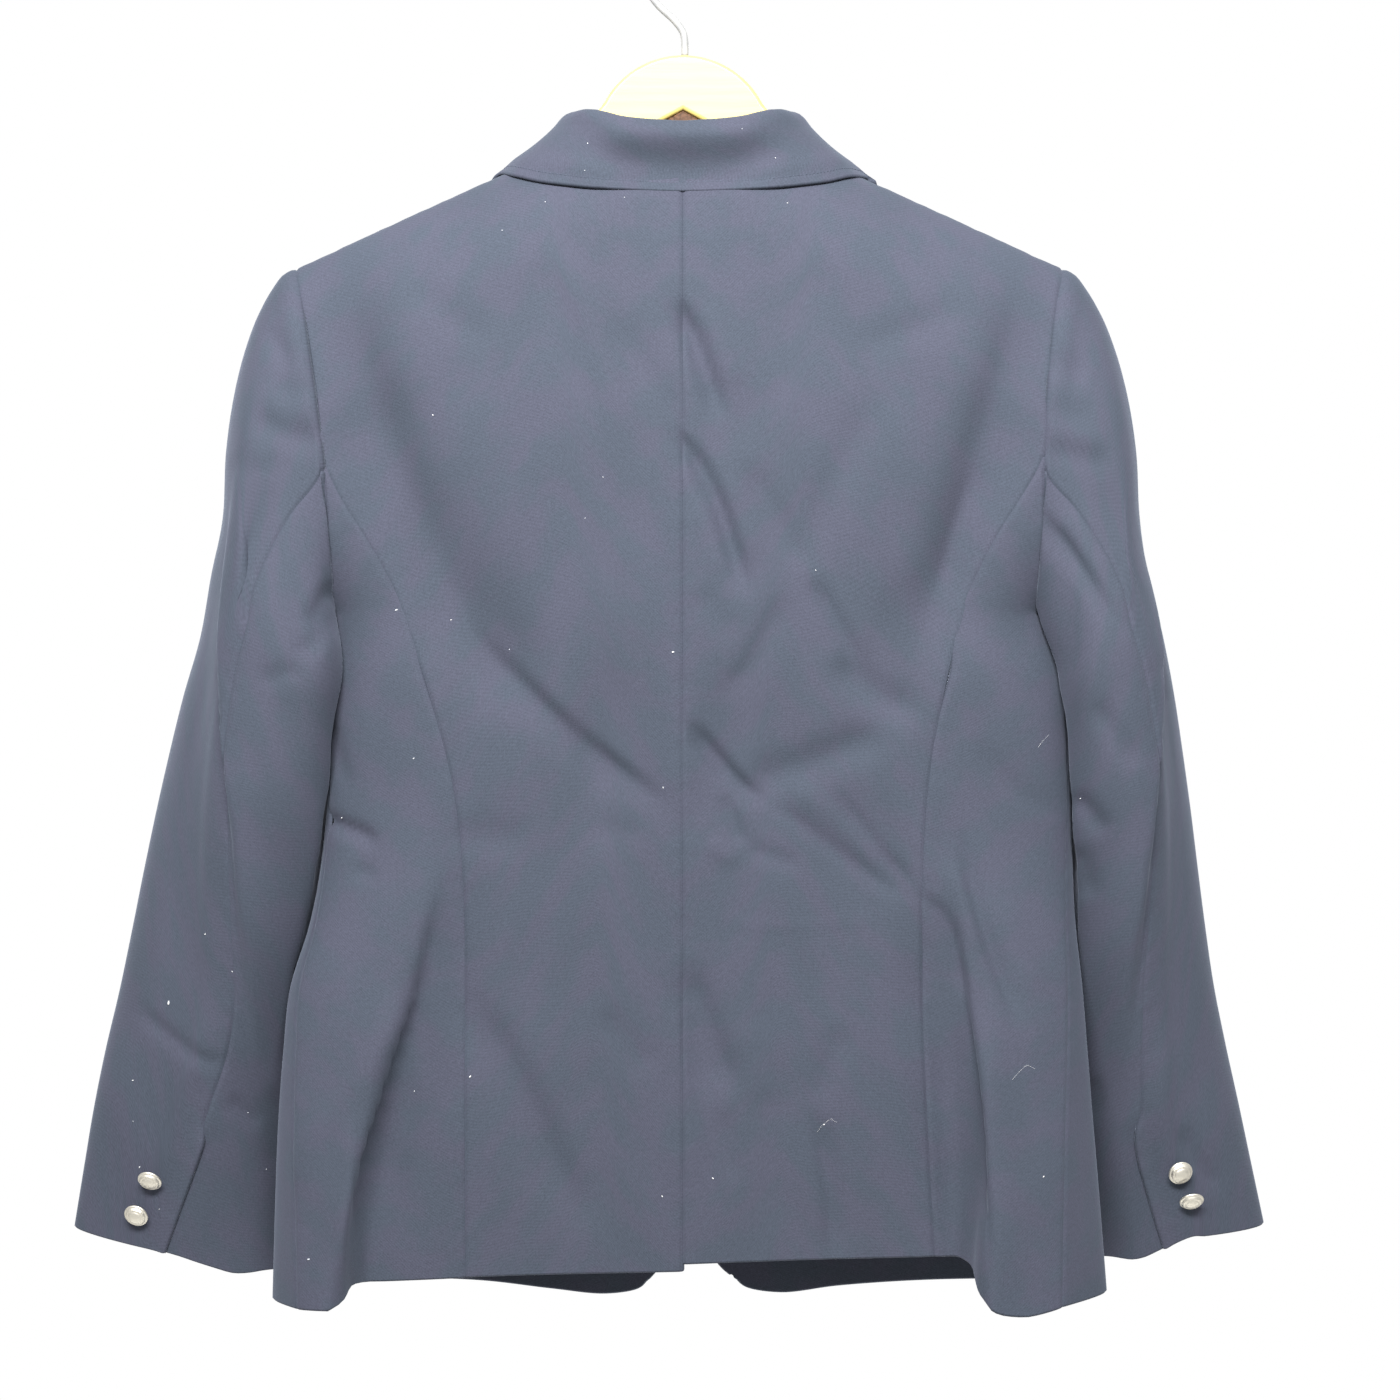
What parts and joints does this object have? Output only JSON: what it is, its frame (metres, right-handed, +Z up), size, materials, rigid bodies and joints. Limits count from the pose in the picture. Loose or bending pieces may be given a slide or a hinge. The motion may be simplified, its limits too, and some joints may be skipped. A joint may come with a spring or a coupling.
{
  "type": "school blazer on a hanger",
  "caption": "Navy twill school blazer with notched lapels, princess seams and metal buttons, hanging on a plain wooden hanger with a wire hook",
  "frame": {"origin": "where the inside top of the hanger's hook bears on its rail", "axes": "+X to the wearer's left, +Y out of the back, +Z up"},
  "size_m": [0.6825, 0.1527, 0.7673],
  "materials": {
    "navy_twill": "fine woven twill of wool and polyester, matt, pressed",
    "nickel_button": "cast metal dome with an aged nickel plating",
    "pale_wood": "smooth pale wood with a clear satin lacquer",
    "coated_wire": "steel wire with a white coating"
  },
  "bodies": {
    "root": {"back_left": "navy_twill", "back_right": "navy_twill", "side_body_left": "navy_twill", "side_body_right": "navy_twill", "front_left": "navy_twill", "front_right": "navy_twill", "lapel_left": "navy_twill", "lapel_right": "navy_twill", "collar": "navy_twill", "top_sleeve_left": "navy_twill", "top_sleeve_right": "navy_twill", "under_sleeve_left": "navy_twill", "under_sleeve_right": "navy_twill", "cuff_button_left_1": "nickel_button", "cuff_button_left_2": "nickel_button", "cuff_button_right_1": "nickel_button", "cuff_button_right_2": "nickel_button", "front_button_1": "nickel_button", "front_button_2": "nickel_button", "hanger_board": "pale_wood", "hanger_hook": "coated_wire"}
  },
  "joints": []
}
